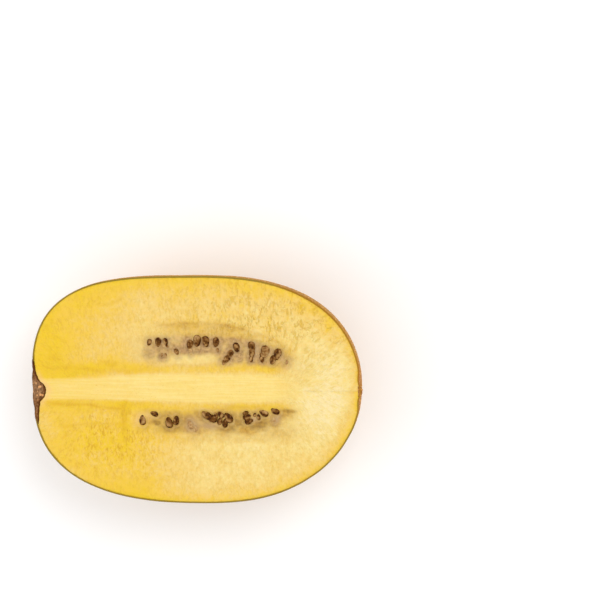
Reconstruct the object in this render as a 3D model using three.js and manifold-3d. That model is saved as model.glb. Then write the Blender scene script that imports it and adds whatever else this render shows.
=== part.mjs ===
// A golden kiwi fruit cut in half lengthwise, lying on its rounded back with the cut face up.
//
// Frame: X runs along the fruit from the stem end (-X) to the blossom end (+X), Y runs across the
// cut face, Z points up out of it. The origin is on the ground under the middle of the fruit.
// All sizes are in millimetres.

import * as THREE from 'three';
import { mergeVertices } from 'three/addons/utils/BufferGeometryUtils.js';
import Module from 'manifold-3d';

const wasm = await Module();
wasm.setup();

// ---- Driving dimensions ----

const STEM_X = -36;          // stem end of the fruit
const TIP_X = 35.6;          // blossom end of the fruit, under its small nub
const CREST_X = 0.4;         // where the fruit is widest
const HALF_WIDTH = 24.7;     // from the long axis to the side
const HALF_DEPTH = 24.4;     // from the cut face to the back, before the back is flattened
const REST_FLAT = 0.4;       // how much of the back is flattened where it rests
const CUT_Z = HALF_DEPTH - REST_FLAT;

// How square the outline is on each side of the long axis: "long" is the exponent along the
// fruit and "wide" the one across it, where 2 and 2 make an ellipse.
const UPPER_SIDE = { stem: { long: 3.4, wide: 2.88 }, tip: { long: 2.51, wide: 2.32 } };
const LOWER_SIDE = { stem: { long: 2.57, wide: 2.69 }, tip: { long: 2.39, wide: 1.87 } };

const SKIN = 0.8;            // thickness of the skin
const GAP = 0.3;             // clearance between neighbouring pieces
const CLEAR = 2;             // how far cutting shapes run past the cut face

const RINGS = 32;            // sections along the fruit
const ARC_STEPS = 26;        // steps round the half section

// The blossom end's dry nub.
const NUB = { radius: 1.0, proud: 0.4, root: 0.5 };

// The woody button at the stem end: a disc with a short plug, a furrow and a stub of the stalk.
const BUTTON = { radius: 7.7, rimX: -34.9, faceX: -34.3, plugRadius: 2.0, plugX: -33.1 };
const FURROW = { radius: 4.2, tube: 1.0, sunk: 0.5 };

// The pale core: a long spindle that narrows and swells along its length.
const CORE = {
  from: -32.6, to: 22.5, blunt: 4, middle: 0.25, halfWidth: 2.75, swell: 0.2, swellAt: -15.7,
  swellEvery: 35.4, depth: 3.1, top: CUT_Z, crown: 0.25,
};

// The seed rows: soft tissue between an inner edge beside the core and an outer edge. Past bendX
// the outer edge bends inwards and the inner edge leans towards the core. Their tops lie a little
// below the cut face.
const ROW = { depth: 2.6, sunk: 0.35, blunt: 5, crown: 0 };
const UPPER_ROW = {
  from: -13.4, to: 22.2, inner: 4.7, outer: 12.4, bendX: 4, bend: -0.0135, lean: 0,
};
const LOWER_ROW = {
  from: -14.2, to: 22.4, inner: -3.8, outer: -9.6, bendX: 4, bend: 0.004, lean: 0.04,
};

// Seeds lie in short files, as they hang in the chambers of the fruit. Each file has the place
// of its first seed, the step to the next, the sizes of its first and last seed against a full
// one, and how far they are turned from pointing straight across the fruit.
const SEED = {
  length: 2.4, width: 1.72, height: 1.4, taper: 0.2, tilt: 0.25, jitter: 0.12, spread: 0.1,
};
const UPPER_FILES = [
  { first: [-9.75, 10.3], step: [1.75, 0.1], count: 2, size: [0.8, 0.98], turn: -0.1 },
  { first: [-6.3, 10.5], step: [0, 0], count: 1, size: [0.82, 0.82], turn: 0.1 },
  { first: [-5.95, 9.65], step: [0, 0], count: 1, size: [0.5, 0.5], turn: 0.3 },
  { first: [-10.4, 8.2], step: [1, -0.1], count: 2, size: [0.7, 0.55], turn: -0.1 },
  { first: [-7.2, 7.4], step: [0.8, 0], count: 2, size: [0.68, 0.65], turn: 0 },
  { first: [-4.05, 8.2], step: [0, 0], count: 1, size: [0.8, 0.8], turn: 0.35 },
  { first: [-1.15, 9.9], step: [0, 0], count: 1, size: [0.88, 0.88], turn: 0 },
  { first: [0.5, 10.65], step: [2, -0.15], count: 3, size: [1.1, 0.98], turn: 0 },
  { first: [-1, 8.5], step: [1.95, 0.4], count: 2, size: [0.6, 0.7], turn: 0 },
  { first: [4.85, 8.55], step: [0, 0], count: 1, size: [0.5, 0.5], turn: 0 },
  { first: [8.95, 9.3], step: [0, 0], count: 1, size: [0.84, 0.84], turn: -0.1 },
  { first: [7.6, 7.75], step: [-0.7, -0.95], count: 3, size: [0.85, 0.8], turn: -0.45 },
  { first: [9.75, 7.4], step: [0, 0], count: 1, size: [0.6, 0.6], turn: 0 },
  { first: [12.35, 9.35], step: [-0.15, -1.35], count: 3, size: [1.08, 0.6], turn: 0 },
  { first: [15.15, 8.4], step: [0, 0], count: 1, size: [1.12, 1.12], turn: -0.2 },
  { first: [14.35, 7.65], step: [0.05, -0.9], count: 2, size: [0.58, 0.62], turn: 0.2 },
  { first: [17.75, 7.85], step: [-0.85, -1.35], count: 2, size: [1.12, 0.85], turn: -0.15 },
  { first: [19.7, 6], step: [0, 0], count: 1, size: [0.7, 0.7], turn: -0.4 },
];
const LOWER_FILES = [
  { first: [-11.8, -6.35], step: [0, 0], count: 1, size: [1.12, 1.12], turn: -0.05 },
  { first: [-9.35, -4.95], step: [0, 0], count: 1, size: [1, 1], turn: 1.15 },
  { first: [-6.2, -7], step: [1.7, 0.35], count: 2, size: [1.02, 0.95], turn: 0 },
  { first: [-1.5, -7.45], step: [1, -1.05], count: 2, size: [0.85, 0.65], turn: 0.3 },
  { first: [2.05, -5.25], step: [1.1, -0.7], count: 2, size: [1.15, 1], turn: 1.15 },
  { first: [4.25, -5.35], step: [0, 0], count: 1, size: [0.6, 0.6], turn: 0 },
  { first: [5.15, -5.2], step: [1.6, -0.7], count: 2, size: [0.75, 1.05], turn: 0.7 },
  { first: [4.85, -6.7], step: [1.25, -0.3], count: 2, size: [0.75, 0.8], turn: -0.3 },
  { first: [10.7, -4.75], step: [0.25, -0.95], count: 3, size: [0.72, 0.8], turn: -1.15 },
  { first: [12.55, -5.1], step: [0.75, -0.6], count: 2, size: [0.6, 0.65], turn: -0.1 },
  { first: [14.55, -4.65], step: [0, 0], count: 1, size: [1.05, 1.05], turn: 1 },
  { first: [16.85, -4.2], step: [0, 0], count: 1, size: [1.08, 1.08], turn: 1.05 },
  { first: [16.8, -6.25], step: [0, 0], count: 1, size: [0.8, 0.8], turn: 0 },
];
const SEED_SIDES = 8;
const SEED_BANDS = 5;

// ---- Materials ----

const materials = {
  skin: new THREE.MeshStandardMaterial({ color: 0xa87b2c, roughness: 0.5, metalness: 0 }),
  flesh: new THREE.MeshStandardMaterial({ color: 0xf5cf6c, roughness: 0.35, metalness: 0 }),
  core: new THREE.MeshStandardMaterial({ color: 0xfae08c, roughness: 0.45, metalness: 0 }),
  seeds: new THREE.MeshStandardMaterial({ color: 0x3a2a1c, roughness: 0.3, metalness: 0 }),
  stem: new THREE.MeshStandardMaterial({ color: 0x5a3a20, roughness: 0.85, metalness: 0 }),
};

// ---- Solids ----

// A manifold solid from a closed three.js geometry, turned right side out.
function solid(geometry) {
  geometry.deleteAttribute('normal');
  geometry.deleteAttribute('uv');
  const merged = mergeVertices(geometry, 1e-5);
  const vertProperties = new Float32Array(merged.attributes.position.array);
  const triVerts = new Uint32Array(merged.index.array);
  const shape = new wasm.Manifold(new wasm.Mesh({ numProp: 3, vertProperties, triVerts }));
  if (shape.volume() > 0) return shape;
  for (let i = 0; i < triVerts.length; i += 3) {
    [triVerts[i], triVerts[i + 1]] = [triVerts[i + 1], triVerts[i]];
  }
  return new wasm.Manifold(new wasm.Mesh({ numProp: 3, vertProperties, triVerts }));
}

function geometryOf(shape) {
  const { vertProperties, triVerts } = shape.getMesh();
  const geometry = new THREE.BufferGeometry();
  geometry.setAttribute('position', new THREE.BufferAttribute(vertProperties, 3));
  geometry.setIndex(new THREE.BufferAttribute(triVerts, 1));
  geometry.computeVertexNormals();
  return geometry;
}

// A closed solid through rings of points that run along +X, each turning about +X from Y to Z,
// with a point at each end.
function loft(startPole, rings, endPole) {
  const points = [startPole, ...rings.flat(), endPole];
  const size = rings[0].length;
  const at = (ring, k) => 1 + ring * size + (k % size);
  const last = points.length - 1;
  const faces = [];
  for (let k = 0; k < size; k++) {
    faces.push(0, at(0, k + 1), at(0, k));
    faces.push(last, at(rings.length - 1, k), at(rings.length - 1, k + 1));
    for (let ring = 0; ring < rings.length - 1; ring++) {
      faces.push(at(ring, k), at(ring, k + 1), at(ring + 1, k + 1));
      faces.push(at(ring, k), at(ring + 1, k + 1), at(ring + 1, k));
    }
  }
  const geometry = new THREE.BufferGeometry().setFromPoints(points);
  geometry.setIndex(faces);
  return solid(geometry);
}

// ---- The fruit's body ----

function blend(low, high, share) {
  return low + (high - low) * share;
}

// Distance from the long axis to the body's surface in the section at x. The angle turns from
// the upper side (0) over the back (90 degrees) to the lower side (180 degrees). Inset shrinks
// the body all round.
function bodyRadius(x, angle, inset) {
  const end = x < CREST_X ? 'stem' : 'tip';
  const reach = (x < CREST_X ? CREST_X - STEM_X : TIP_X - CREST_X) - inset;
  const share = (1 + Math.cos(angle)) / 2;
  const long = blend(LOWER_SIDE[end].long, UPPER_SIDE[end].long, share);
  const wide = blend(LOWER_SIDE[end].wide, UPPER_SIDE[end].wide, share);
  const crest = blend(HALF_WIDTH, HALF_DEPTH, Math.sin(angle) ** 2) - inset;
  const u = Math.min(Math.abs(x - CREST_X) / reach, 1);
  return crest * (1 - u ** long) ** (1 / wide);
}

// The half fruit below the cut face, shrunk by inset. With a lid it runs up past the cut face.
function halfBody(inset, lid = 0) {
  const start = STEM_X + inset;
  const end = TIP_X - inset;
  const rings = [];
  for (let i = 1; i < RINGS; i++) {
    const along = Math.cos(Math.PI * i / RINGS);
    const x = CREST_X - along * (along > 0 ? CREST_X - start : end - CREST_X);
    const ring = [];
    for (let k = 0; k <= ARC_STEPS; k++) {
      const angle = Math.PI * (1 - k / ARC_STEPS);
      const radius = bodyRadius(x, angle, inset);
      const z = Math.max(CUT_Z - radius * Math.sin(angle), inset);
      ring.push(new THREE.Vector3(x, radius * Math.cos(angle), z));
    }
    if (lid > 0) {
      ring.push(new THREE.Vector3(x, ring[ARC_STEPS].y, CUT_Z + lid));
      ring.push(new THREE.Vector3(x, ring[0].y, CUT_Z + lid));
    }
    rings.push(ring);
  }
  return loft(new THREE.Vector3(start, 0, CUT_Z), rings, new THREE.Vector3(end, 0, CUT_Z));
}

// Everything above the cut face.
function aboveCut() {
  const size = 200;
  const block = new THREE.BoxGeometry(size, size, size);
  block.translate(0, 0, CUT_Z + size / 2);
  return solid(block);
}

// A solid of revolution about the fruit's long axis, from [radius, x] points.
function roundAxis(profile, sides) {
  const points = profile.map(([radius, x]) => new THREE.Vector2(radius, x));
  const turned = new THREE.LatheGeometry(points, sides);
  turned.rotateZ(-Math.PI / 2);
  turned.translate(0, 0, CUT_Z);
  return solid(turned);
}

// ---- Core and seed rows ----

const SPINDLE_STEPS = 26;
const UNDER_STEPS = 8;
const CROWN_STEPS = 4;

// A long bar let into the cut face, with a round underside and a slightly domed top. Its edges
// follow edgesAt(x) and close in at its ends. Grown by the gap and with a lid it is its trough.
function spindle({ from, to, blunt, depth, top, crown }, edgesAt, gap = 0, lid = 0) {
  const start = from - gap;
  const end = to + gap;
  const rings = [];
  for (let i = 1; i < SPINDLE_STEPS; i++) {
    const along = -Math.cos(Math.PI * i / SPINDLE_STEPS);
    const x = (start + end) / 2 + along * (end - start) / 2;
    const taper = (1 - Math.abs(along) ** blunt) ** (1 / blunt);
    const [low, high] = edgesAt(x);
    const middle = (low + high) / 2;
    const halfWidth = ((high - low) / 2 + gap) * taper;
    const ring = [];
    for (let k = 0; k <= UNDER_STEPS; k++) {
      const angle = Math.PI * (1 - k / UNDER_STEPS);
      const z = top - (depth + gap) * taper * Math.sin(angle);
      ring.push(new THREE.Vector3(x, middle + halfWidth * Math.cos(angle), z));
    }
    if (lid > 0) {
      ring.push(new THREE.Vector3(x, middle + halfWidth, top + lid));
      ring.push(new THREE.Vector3(x, middle - halfWidth, top + lid));
    }
    for (let k = 1; k < CROWN_STEPS && crown > 0 && lid === 0; k++) {
      const angle = Math.PI * k / CROWN_STEPS;
      const z = top + crown * taper * Math.sin(angle);
      ring.push(new THREE.Vector3(x, middle + halfWidth * Math.cos(angle), z));
    }
    rings.push(ring);
  }
  return loft(new THREE.Vector3(start, middleOf(edgesAt(start)), top), rings,
    new THREE.Vector3(end, middleOf(edgesAt(end)), top));
}

function middleOf([low, high]) {
  return (low + high) / 2;
}

function coreEdges(x) {
  const phase = 2 * Math.PI * (x - CORE.swellAt) / CORE.swellEvery;
  const halfWidth = CORE.halfWidth + CORE.swell * Math.cos(phase);
  return [CORE.middle - halfWidth, CORE.middle + halfWidth];
}

function rowEdges(row) {
  return (x) => {
    const past = Math.max(0, x - row.bendX);
    const outer = row.outer + row.bend * past ** 2;
    const inner = row.inner + row.lean * past;
    return [Math.min(inner, outer), Math.max(inner, outer)];
  };
}

function rowShape(row) {
  return { ...ROW, from: row.from, to: row.to, top: CUT_Z - ROW.sunk };
}

// Random numbers from 0 to 1, the same on every run.
function seededRandom(seed) {
  let state = seed;
  return () => {
    state = (state * 16807) % 2147483647;
    return state / 2147483647;
  };
}

// One drop-shaped seed, lying on its side: slimmer towards the core, round at the outer end.
// Outward is 1 for the upper row and -1 for the lower.
function seed(x, y, size, turn, outward) {
  const shape = new THREE.SphereGeometry(0.5, SEED_SIDES, SEED_BANDS);
  const places = shape.attributes.position;
  for (let i = 0; i < places.count; i++) {
    const girth = 1 + SEED.taper * 2 * places.getY(i) * outward;
    places.setX(i, places.getX(i) * girth);
    places.setZ(i, places.getZ(i) * girth);
  }
  shape.scale(SEED.width * size, SEED.length * size, SEED.height * size);
  shape.rotateZ(turn);
  shape.translate(x, y, CUT_Z - ROW.sunk);
  return solid(shape);
}

// A seed row: the bar of soft tissue with its seeds, half sunk in it, as one body.
function seedRow(row, files, outward, randomSeed) {
  const random = seededRandom(randomSeed);
  const around = (reach) => (random() * 2 - 1) * reach;
  let shape = spindle(rowShape(row), rowEdges(row));
  for (const file of files) {
    for (let k = 0; k < file.count; k++) {
      const x = file.first[0] + k * file.step[0] + around(SEED.jitter);
      const y = file.first[1] + k * file.step[1] + around(SEED.jitter);
      const usual = blend(file.size[0], file.size[1], k / Math.max(1, file.count - 1));
      const size = usual * (1 + around(SEED.spread));
      shape = shape.add(seed(x, y, size, file.turn + around(SEED.tilt), outward));
    }
  }
  return shape;
}

// ---- Stem button ----

const BUTTON_SIDES = 40;

// A disc with a plug behind it, grown by gap where it is used as a cutting shape.
function buttonDisc(gap = 0) {
  const { radius, rimX, faceX, plugRadius, plugX } = BUTTON;
  return roundAxis([
    [0, STEM_X - CLEAR],
    [radius + gap, STEM_X - CLEAR],
    [radius + gap, rimX + gap],
    [plugRadius + gap, faceX + gap],
    [plugRadius + gap, plugX + gap],
    [0, plugX + gap],
  ], BUTTON_SIDES);
}

// The ring-shaped furrow between the button's rim and the stub of the stalk.
function furrow() {
  const ring = new THREE.TorusGeometry(FURROW.radius, FURROW.tube, 8, BUTTON_SIDES);
  ring.rotateY(Math.PI / 2);
  ring.translate(STEM_X + FURROW.sunk - FURROW.tube, 0, CUT_Z);
  return solid(ring);
}

// ---- The six pieces ----

function nub() {
  const dome = new THREE.SphereGeometry(1, 12, 8);
  dome.scale(NUB.proud + NUB.root, NUB.radius, NUB.radius);
  dome.translate(TIP_X - NUB.root, 0, CUT_Z);
  return solid(dome).subtract(aboveCut());
}

function skinShape() {
  const outside = halfBody(0).add(nub());
  return outside.subtract(halfBody(SKIN, CLEAR)).subtract(buttonDisc(GAP));
}

function fleshShape() {
  return halfBody(SKIN + GAP)
    .subtract(buttonDisc(GAP))
    .subtract(spindle(CORE, coreEdges, GAP, CLEAR))
    .subtract(spindle(rowShape(UPPER_ROW), rowEdges(UPPER_ROW), GAP, CLEAR))
    .subtract(spindle(rowShape(LOWER_ROW), rowEdges(LOWER_ROW), GAP, CLEAR));
}

function buttonShape() {
  return halfBody(0).intersect(buttonDisc()).subtract(furrow());
}

function piece(name, shape, material) {
  const mesh = new THREE.Mesh(geometryOf(shape), material);
  mesh.name = name;
  return mesh;
}

const kiwiHalf = new THREE.Group();
kiwiHalf.add(
  piece('skin', skinShape(), materials.skin),
  piece('flesh', fleshShape(), materials.flesh),
  piece('core', spindle(CORE, coreEdges), materials.core),
  piece('seed_row_upper', seedRow(UPPER_ROW, UPPER_FILES, 1, 11), materials.seeds),
  piece('seed_row_lower', seedRow(LOWER_ROW, LOWER_FILES, -1, 23), materials.seeds),
  piece('stem_button', buttonShape(), materials.stem),
);

export default kiwiHalf;
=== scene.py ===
# The looks of a golden kiwi fruit half: it lies on its back, cut face up, on a pale floor.
# Shapes are worked out in millimetres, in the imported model's frame, and built in metres.

import math

import bmesh
import bpy
import numpy as np
from mathutils import Matrix, Vector


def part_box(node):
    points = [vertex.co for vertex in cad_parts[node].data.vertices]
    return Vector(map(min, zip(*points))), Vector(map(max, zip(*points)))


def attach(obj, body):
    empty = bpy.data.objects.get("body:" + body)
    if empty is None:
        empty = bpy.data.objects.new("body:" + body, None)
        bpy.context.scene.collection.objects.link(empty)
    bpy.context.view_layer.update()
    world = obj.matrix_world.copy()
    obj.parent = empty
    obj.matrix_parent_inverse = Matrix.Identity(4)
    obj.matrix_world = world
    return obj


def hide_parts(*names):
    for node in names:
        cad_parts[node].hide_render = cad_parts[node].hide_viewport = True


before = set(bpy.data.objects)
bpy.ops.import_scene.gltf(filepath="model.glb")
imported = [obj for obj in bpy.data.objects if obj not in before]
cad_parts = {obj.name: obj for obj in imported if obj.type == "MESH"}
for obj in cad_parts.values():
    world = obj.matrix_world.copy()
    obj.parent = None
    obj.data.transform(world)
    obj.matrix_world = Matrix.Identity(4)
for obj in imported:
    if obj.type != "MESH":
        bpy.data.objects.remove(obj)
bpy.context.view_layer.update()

MM = 0.001


def node_box(name):
    """The low and high corners of a node of the CAD model, in mm."""
    low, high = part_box(name)
    return np.array(low) / MM, np.array(high) / MM


# ---- The fruit's shape, as in the CAD model: X runs from the stem to the blossom end ----

SKIN_BOX = node_box("skin")
BUTTON_BOX = node_box("stem_button")
STEM_X = float(BUTTON_BOX[0][0])
BUTTON_RADIUS = float(BUTTON_BOX[1][1])
NUB_PROUD = 0.4
TIP_X = float(SKIN_BOX[1][0]) - NUB_PROUD
CUT_Z = float(node_box("flesh")[1][2])
HALF_WIDTH = float(SKIN_BOX[1][1])
REST_FLAT = 0.4
HALF_DEPTH = CUT_Z + REST_FLAT
CREST_X = 0.4
SKIN_THICK = 0.28
# The two exponents of the outline's curve at each end, on the upper and the lower side.
UPPER_SIDE = {"stem": (3.4, 2.88), "tip": (2.51, 2.32)}
LOWER_SIDE = {"stem": (2.57, 2.69), "tip": (2.39, 1.87)}

# The stem button: how deep the flesh starts behind it, its plug, and the line of its back on
# the lower and the upper side.
BUTTON_BURIED = 0.7
PLUG = {"x": -34.2, "y": -0.15, "reach": 1.95, "deep": 1.1}
BACK_LOWER = {"rim": -34.95, "swell": 0.95, "reach": 7.5}
BACK_UPPER = {"rim": -35.8, "swell": 1.75, "reach": 7.2}

SEED_LENGTH, SEED_WIDTH, SEED_HEIGHT = 2.4, 1.72, 1.4
SEED_JITTER, SEED_SPREAD, SEED_TILT = 0.12, 0.1, 0.25
ROW_SUNK = 0.35


def lone(place, size, turn, fade):
    """A file of one seed."""
    return place, (0, 0), 1, (size, size), turn, fade


# Each file of seeds: place of the first, step to the next, count, first and last size, turn,
# and how far the seeds have faded, from 0 to 1.
UPPER_FILES = [
    ((-9.75, 10.3), (1.75, 0.1), 2, (0.8, 0.98), -0.1, 0.1),
    lone((-6.3, 10.5), 0.82, 0.1, 0.05),
    lone((-5.95, 9.65), 0.5, 0.3, 0.1),
    ((-10.4, 8.2), (1, -0.1), 2, (0.7, 0.55), -0.1, 0.7),
    ((-7.2, 7.4), (0.8, 0), 2, (0.68, 0.65), 0, 0.3),
    lone((-4.05, 8.2), 0.8, 0.35, 0.3),
    lone((-1.15, 9.9), 0.88, 0, 0.2),
    ((0.5, 10.65), (2, -0.15), 3, (1.1, 0.98), 0, 0.1),
    ((-1, 8.5), (1.95, 0.4), 2, (0.6, 0.7), 0, 0.7),
    lone((4.85, 8.55), 0.5, 0, 0.25),
    lone((8.95, 9.3), 0.84, -0.1, 0),
    ((7.6, 7.75), (-0.7, -0.95), 3, (0.85, 0.8), -0.45, 0.15),
    lone((9.75, 7.4), 0.6, 0, 0.8),
    ((12.35, 9.35), (-0.15, -1.35), 3, (1.08, 0.6), 0, 0.15),
    lone((15.15, 8.4), 1.12, -0.2, 0.3),
    ((14.35, 7.65), (0.05, -0.9), 2, (0.58, 0.62), 0.2, 0.2),
    ((17.75, 7.85), (-0.85, -1.35), 2, (1.12, 0.85), -0.15, 0.1),
    lone((19.7, 6), 0.7, -0.4, 0.5),
]
LOWER_FILES = [
    lone((-11.8, -6.35), 1.12, -0.05, 0.1),
    lone((-9.35, -4.95), 1, 1.15, 0),
    ((-6.2, -7), (1.7, 0.35), 2, (1.02, 0.95), 0, 0.02),
    ((-1.5, -7.45), (1, -1.05), 2, (0.85, 0.65), 0.3, 0.7),
    ((2.05, -5.25), (1.1, -0.7), 2, (1.15, 1), 1.15, 0.02),
    lone((4.25, -5.35), 0.6, 0, 0),
    ((5.15, -5.2), (1.6, -0.7), 2, (0.75, 1.05), 0.7, 0.05),
    ((4.85, -6.7), (1.25, -0.3), 2, (0.75, 0.8), -0.3, 0.05),
    ((10.7, -4.75), (0.25, -0.95), 3, (0.72, 0.8), -1.15, 0.02),
    ((12.55, -5.1), (0.75, -0.6), 2, (0.6, 0.65), -0.1, 0),
    lone((14.55, -4.65), 1.05, 1, 0.05),
    lone((16.85, -4.2), 1.08, 1.05, 0),
    lone((16.8, -6.25), 0.8, 0, 0.75),
]
UPPER_SEED, LOWER_SEED = 11, 23


# ---- Numbers: ramps, noise, seeded draws ----

LAYER_FADE = 0.55
DRAW_FACTOR, DRAW_MODULUS = 16807, 2147483647


def ramp(value, low, high):
    """A smooth rise from 0 at low to 1 at high."""
    t = np.clip((value - low) / (high - low), 0, 1)
    return t * t * (3 - 2 * t)


def change(start, end, share):
    return start + (end - start) * share


def bell(value, centre, width):
    """1 at the centre, about a third at width from it."""
    return np.exp(-((value - centre) / width) ** 2)


def between(value, low, high, soft):
    """1 from low to high and 0 outside, with ends twice soft long."""
    return ramp(value, low - soft, low + soft) * (1 - ramp(value, high - soft, high + soft))


def lattice(i, j, seed):
    """A fixed number from -1 to 1 for each lattice point."""
    n = np.sin(i * 127.1 + j * 311.7 + seed * 74.7) * 43758.5453
    return (n - np.floor(n)) * 2 - 1


def noise(x, y, size_x, size_y, seed):
    """Smooth noise from -1 to 1 with cells of size_x by size_y mm."""
    u, v = x / size_x, y / size_y
    i, j = np.floor(u), np.floor(v)
    f, g = u - i, v - j
    f, g = f * f * (3 - 2 * f), g * g * (3 - 2 * g)
    low = lattice(i, j, seed) * (1 - f) + lattice(i + 1, j, seed) * f
    high = lattice(i, j + 1, seed) * (1 - f) + lattice(i + 1, j + 1, seed) * f
    return low * (1 - g) + high * g


def layered(x, y, size_x, size_y, seed, layers=3):
    """Noise with finer noise on it, each layer half as coarse as the last."""
    total, weight, sum_weight = 0, 1.0, 0
    for k in range(layers):
        total = total + weight * noise(x, y, size_x / 2 ** k, size_y / 2 ** k, seed + k)
        sum_weight += weight
        weight *= LAYER_FADE
    return total / sum_weight


def seeded_random(seed):
    """Numbers from 0 to 1, the same as the CAD model's."""
    state = seed
    while True:
        state = (state * DRAW_FACTOR) % DRAW_MODULUS
        yield state / DRAW_MODULUS


def warped(x, y, reach, size, seed):
    """The points pushed about by noise, for zones with uneven edges."""
    across = layered(x, y, size, size * 0.7, seed)
    return x + reach * across, y + 0.5 * reach * layered(x, y, size, size * 0.7, seed + 40)


def blob(x, y, centre, reach, strength=1.0, power=2.0):
    """A soft oval patch: 1 in its middle, about a third at reach; a high power squares it."""
    u = np.abs((x - centre[0]) / reach[0])
    v = np.abs((y - centre[1]) / reach[1])
    return strength * np.exp(-(u ** power + v ** power))


def sum_of_blobs(x, y, blobs):
    return sum(blob(x, y, *each) for each in blobs)


# ---- Points of the surface ----

def side_exponent(end, k, share):
    """An exponent of the outline at one end; share is 1 on the upper side and 0 on the lower."""
    return change(LOWER_SIDE[end][k], UPPER_SIDE[end][k], share)


def upper_share(angle):
    """1 on the upper side, where the angle is 0, and 0 on the lower, where it is pi."""
    return (1 + np.cos(angle)) / 2


def crest_radius(angle):
    """Distance from the long axis to the surface where the fruit is thickest."""
    return change(HALF_WIDTH, HALF_DEPTH, np.sin(angle) ** 2)


def body_radius(x, angle, inset=0.0):
    """Distance from the long axis to the surface; angle 0 is the upper side, pi/2 the back."""
    x, angle = np.broadcast_arrays(np.asarray(x, float), np.asarray(angle, float))
    stem = x < CREST_X
    share = upper_share(angle)
    along, across = (
        np.where(stem, side_exponent("stem", k, share), side_exponent("tip", k, share)) for k in (0, 1)
    )
    reach = np.where(stem, CREST_X - STEM_X, TIP_X - CREST_X) - inset
    u = np.clip(np.abs(x - CREST_X) / reach, 0, 1)
    return (crest_radius(angle) - inset) * (1 - u ** along) ** (1 / across)


def surface_x(radius, angle):
    """Where the surface at the stem end has the given distance from the long axis."""
    share = upper_share(angle)
    u = 1 - (radius / crest_radius(angle)) ** side_exponent("stem", 1, share)
    return CREST_X - (CREST_X - STEM_X) * u ** (1 / side_exponent("stem", 0, share))


def tip_dimple(x, radius):
    """How far the fruit draws in round the blossom end."""
    return 0.4 * bell(radius, 2.2, 1.5) * ramp(x, TIP_X - 3, TIP_X)


def skin_surface(x, angle, inset):
    """Points of the gently uneven skin; inset is 0 on its outside."""
    radius = body_radius(x, angle, inset)
    gentle = 0.5 + 0.5 * layered(x + 40, radius * angle, 9.0, 8.0, seed=101, layers=2)
    radius = np.maximum(radius - 0.16 * gentle * ramp(radius, 0.5, 6.0), 0)
    floor_z = 0.0 if inset == 0 else SKIN_THICK * 0.9
    z = np.maximum(CUT_Z - radius * np.sin(angle), floor_z)
    return np.stack([x - tip_dimple(x, radius), radius * np.cos(angle), z], -1)


def along_stations(count, start, end, crowding=0.6):
    """Places from start to end, closer together near the ends."""
    s = np.linspace(0, 1, count + 1)
    return change(start, end, (1 - crowding) * s + crowding * (1 - np.cos(np.pi * s)) / 2)


def button_back(y, share=None):
    """Where the woody button ends inside the fruit, y from the long axis; share is 1 on the
    upper side and 0 on the lower."""
    if share is None:
        share = ramp(y, -1.5, 1.5)
    lower = BACK_LOWER["rim"] + BACK_LOWER["swell"] * (1 - np.abs(y) / BACK_LOWER["reach"])
    upper = BACK_UPPER["rim"] + BACK_UPPER["swell"] * np.clip(1 - np.abs(y) / BACK_UPPER["reach"], 0, 1)
    plug = PLUG["deep"] * np.exp(-np.abs((y - PLUG["y"]) / PLUG["reach"]) ** 4)
    ragged = 0.1 * noise(y, 0 * y, 0.55, 1.0, seed=131)
    return change(lower, upper, share) + plug + ragged


def seed_places(files, random_seed):
    """x, y, size, turn and fade of each seed: the files' even steps with a seeded draw on them."""
    draw = seeded_random(random_seed)

    def around(reach):
        return (next(draw) * 2 - 1) * reach

    places = []
    for first, step, count, (first_size, last_size), turn, fade in files:
        for k in range(count):
            file_size = change(first_size, last_size, k / max(1, count - 1))
            x = first[0] + k * step[0] + around(SEED_JITTER)
            y = first[1] + k * step[1] + around(SEED_JITTER)
            size = file_size * (1 + around(SEED_SPREAD))
            places.append((x, y, size, turn + around(SEED_TILT), fade))
    return places


SEEDS = {
    "upper": seed_places(UPPER_FILES, UPPER_SEED),
    "lower": seed_places(LOWER_FILES, LOWER_SEED),
}


# ---- Meshes ----

WELD = 1e-4


def sheet_faces(rows, columns, start):
    """The quads of a grid of points whose first point has the number start."""
    i, j = np.meshgrid(np.arange(rows - 1), np.arange(columns - 1), indexing="ij")
    a = start + i * columns + j
    return np.stack([a, a + 1, a + columns + 1, a + columns], -1).reshape(-1, 4)


def close_up(mesh):
    """Weld points that share a place, fill what is open and turn all faces out."""
    work = bmesh.new()
    work.from_mesh(mesh)
    bmesh.ops.remove_doubles(work, verts=work.verts, dist=WELD * MM)
    bmesh.ops.holes_fill(work, edges=[e for e in work.edges if e.is_boundary])
    bmesh.ops.recalc_face_normals(work, faces=work.faces)
    work.to_mesh(mesh)
    work.free()


def add_object(name, data):
    made = bpy.data.objects.new(name, data)
    bpy.context.scene.collection.objects.link(made)
    return made


def build_mesh(name, points, faces, fields=(), closed=False):
    """A smooth-shaded object from points in mm. fields are (name, values at the points)."""
    mesh = bpy.data.meshes.new(name)
    mesh.from_pydata((points * MM).tolist(), [], faces.tolist())
    for field, values in fields:
        values = np.asarray(values, np.float32)
        kind, key = ("FLOAT", "value") if values.ndim == 1 else ("FLOAT_VECTOR", "vector")
        layer = mesh.attributes.new(field, kind, "POINT")
        layer.data.foreach_set(key, values.ravel())
    if not closed:
        close_up(mesh)
    mesh.shade_smooth()
    return add_object(name, mesh)


def mesh_of_sheets(name, sheets, fields=()):
    """One closed mesh from grids of points that share their edges."""
    points = np.concatenate([s.reshape(-1, 3) for s in sheets])
    faces, start = [], 0
    for s in sheets:
        faces.append(sheet_faces(s.shape[0], s.shape[1], start))
        start += s.shape[0] * s.shape[1]
    return build_mesh(name, points, np.concatenate(faces), fields)


def unit(vectors):
    return vectors / np.maximum(np.linalg.norm(vectors, axis=-1, keepdims=True), 1e-9)


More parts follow.
